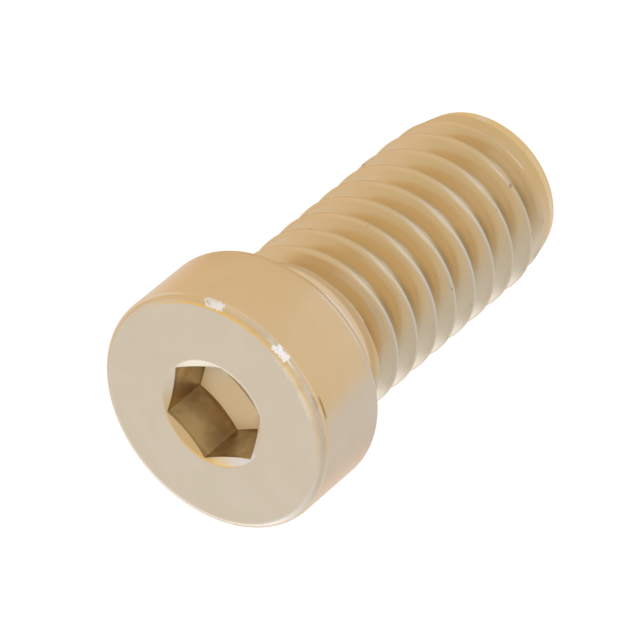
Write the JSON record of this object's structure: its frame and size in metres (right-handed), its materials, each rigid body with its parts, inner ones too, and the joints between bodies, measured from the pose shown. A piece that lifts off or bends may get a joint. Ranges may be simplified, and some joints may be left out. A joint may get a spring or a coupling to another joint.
{
  "type": "socket head cap screw",
  "caption": "Low round head with a hexagon socket on a stout right-hand threaded shank, for clamping parts in a counterbore.",
  "frame": {"origin": "middle of the point's end face, which the screw stands on", "axes": "+Z along the screw's axis, from the point up to the head; +X through a corner of the hexagon socket"},
  "size_m": [0.0104, 0.0104, 0.0199],
  "materials": {
    "polished_brass": "polished pale gold"
  },
  "bodies": {
    "root": {"cap_screw": "polished_brass"}
  },
  "joints": []
}
